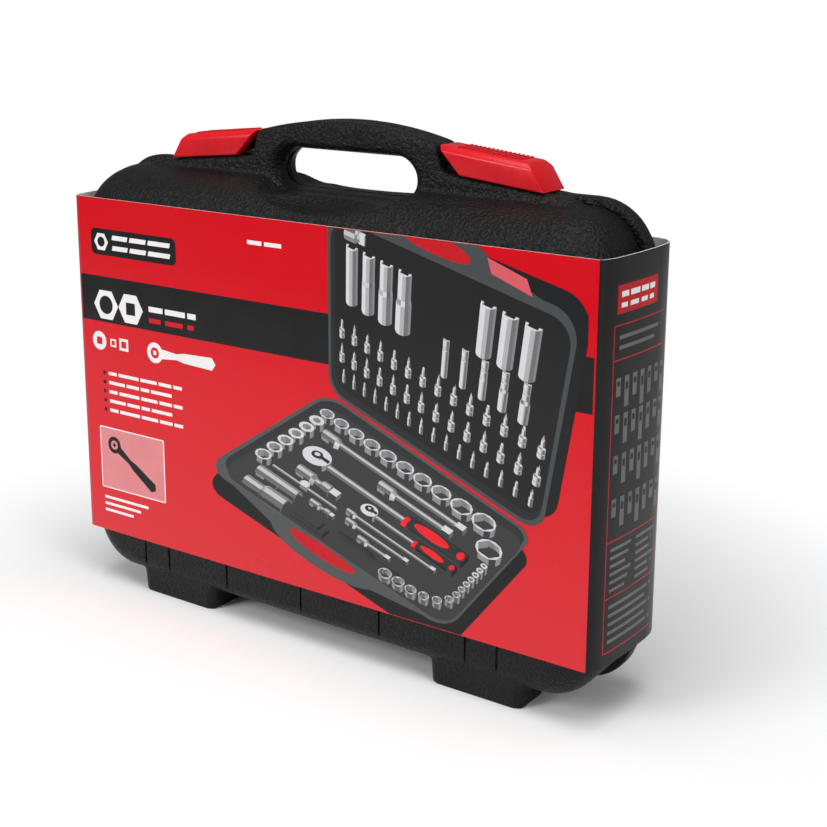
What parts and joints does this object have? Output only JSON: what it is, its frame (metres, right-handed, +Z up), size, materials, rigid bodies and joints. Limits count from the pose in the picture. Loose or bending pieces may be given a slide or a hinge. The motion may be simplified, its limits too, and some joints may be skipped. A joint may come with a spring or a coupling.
{
  "type": "socket wrench set in case",
  "caption": "Hinged carrying case with handle and sliding latches, holding ratchets, sockets and extensions, wrapped in a printed card sleeve.",
  "frame": {"origin": "centre of the case's footprint, on the surface that the feet stand on", "axes": "+Z up through the handle, -Y towards the printed front panel, +X to the right of someone who faces the front"},
  "size_m": [0.391, 0.0792, 0.3165],
  "materials": {
    "case_black": "pebbled grain, low sheen",
    "tray_black": "matt moulded",
    "latch_red": "glossy moulded",
    "printed_card": "gloss laminated print",
    "chrome": "satin to bright plated",
    "pin_steel": "drawn",
    "dark_steel": "blackened",
    "grip_plastic": "two-tone moulded",
    "lever_plastic": "moulded"
  },
  "bodies": {
    "rear_case": {"drive_adapter": "chrome", "hinge_pin_left": "pin_steel", "hinge_pin_right": "pin_steel", "rear_shell": "case_black", "rear_tray": "tray_black", "socket_deep_10mm": "chrome", "socket_deep_12mm": "chrome", "socket_deep_13mm": "chrome", "socket_long_16mm": "chrome", "socket_long_17mm": "chrome", "socket_long_18mm": "chrome", "socket_long_19mm": "chrome"},
    "front_case": {"extension_half_long": "chrome", "extension_half_short": "chrome", "extension_quarter_long": "chrome", "extension_quarter_short": "chrome", "flexible_extension": "chrome", "front_shell": "case_black", "front_tray": "tray_black", "hex_key_large": "dark_steel", "hex_key_small": "dark_steel", "ratchet_half_body": "chrome", "ratchet_half_grip": "grip_plastic", "ratchet_quarter_body": "chrome", "ratchet_quarter_grip": "grip_plastic", "socket_half_10mm": "chrome", "socket_half_11mm": "chrome", "socket_half_12mm": "chrome", "socket_half_13mm": "chrome", "socket_half_14mm": "chrome", "socket_half_15mm": "chrome", "socket_half_16mm": "chrome", "socket_half_17mm": "chrome", "socket_half_18mm": "chrome", "socket_half_19mm": "chrome", "socket_half_20mm": "chrome", "socket_half_21mm": "chrome", "socket_half_22mm": "chrome", "socket_half_24mm": "chrome", "socket_half_27mm": "chrome", "socket_half_30mm": "chrome", "socket_half_32mm": "chrome", "spark_plug_socket_16mm": "chrome", "spark_plug_socket_21mm": "chrome", "spinner_handle": "chrome", "t_bar_head": "chrome", "t_bar_rod": "chrome", "universal_joint_half": "chrome", "universal_joint_quarter": "chrome"},
    "sleeve": {"card_sleeve": "printed_card"},
    "latch_left": {"latch_left": "latch_red"},
    "latch_right": {"latch_right": "latch_red"},
    "ratchet_half_spindle": {"ratchet_half_drive": "chrome"},
    "ratchet_half_selector": {"ratchet_half_lever": "lever_plastic"},
    "ratchet_half_release": {"ratchet_half_button": "pin_steel"},
    "ratchet_quarter_spindle": {"ratchet_quarter_drive": "chrome"},
    "ratchet_quarter_selector": {"ratchet_quarter_lever": "lever_plastic"},
    "ratchet_quarter_release": {"ratchet_quarter_button": "pin_steel"}
  },
  "joints": [
    {"name": "sleeve_slide", "type": "slide", "parent": "rear_case", "child": "sleeve", "axis": [0, 0, 1], "range_m": [0, 0.285]},
    {"name": "latch_left_slide", "type": "slide", "parent": "rear_case", "child": "latch_left", "axis": [-0.9949, 0, -0.1011], "range_m": [0, 0.01]},
    {"name": "latch_right_slide", "type": "slide", "parent": "rear_case", "child": "latch_right", "axis": [0.9949, 0, -0.1011], "range_m": [0, 0.01]},
    {"name": "front_shell_hinge", "type": "hinge", "parent": "rear_case", "child": "front_case", "pos_m": [0, 0.007, 0.01], "axis": [1, 0, 0], "range_deg": [0, 100], "deforming": ["card_sleeve"]},
    {"name": "ratchet_half_spin", "type": "hinge", "parent": "front_case", "child": "ratchet_half_spindle", "pos_m": [-0.118, 0.002, 0.1362], "axis": [0, 1, 0], "continuous": true},
    {"name": "ratchet_half_direction", "type": "hinge", "parent": "front_case", "child": "ratchet_half_selector", "pos_m": [-0.118, 0.002, 0.1362], "axis": [0, 1, 0], "range_deg": [-25, 25]},
    {"name": "ratchet_half_button_press", "type": "slide", "parent": "front_case", "child": "ratchet_half_release", "axis": [0, -1, 0], "range_m": [0, 0.0015], "stiffness_N_per_m": 300},
    {"name": "ratchet_quarter_spin", "type": "hinge", "parent": "front_case", "child": "ratchet_quarter_spindle", "pos_m": [-0.008, 0.002, 0.1676], "axis": [0, 1, 0], "continuous": true},
    {"name": "ratchet_quarter_direction", "type": "hinge", "parent": "front_case", "child": "ratchet_quarter_selector", "pos_m": [-0.008, 0.002, 0.1676], "axis": [0, 1, 0], "range_deg": [-25, 25]},
    {"name": "ratchet_quarter_button_press", "type": "slide", "parent": "front_case", "child": "ratchet_quarter_release", "axis": [0, -1, 0], "range_m": [0, 0.0015], "stiffness_N_per_m": 300}
  ]
}
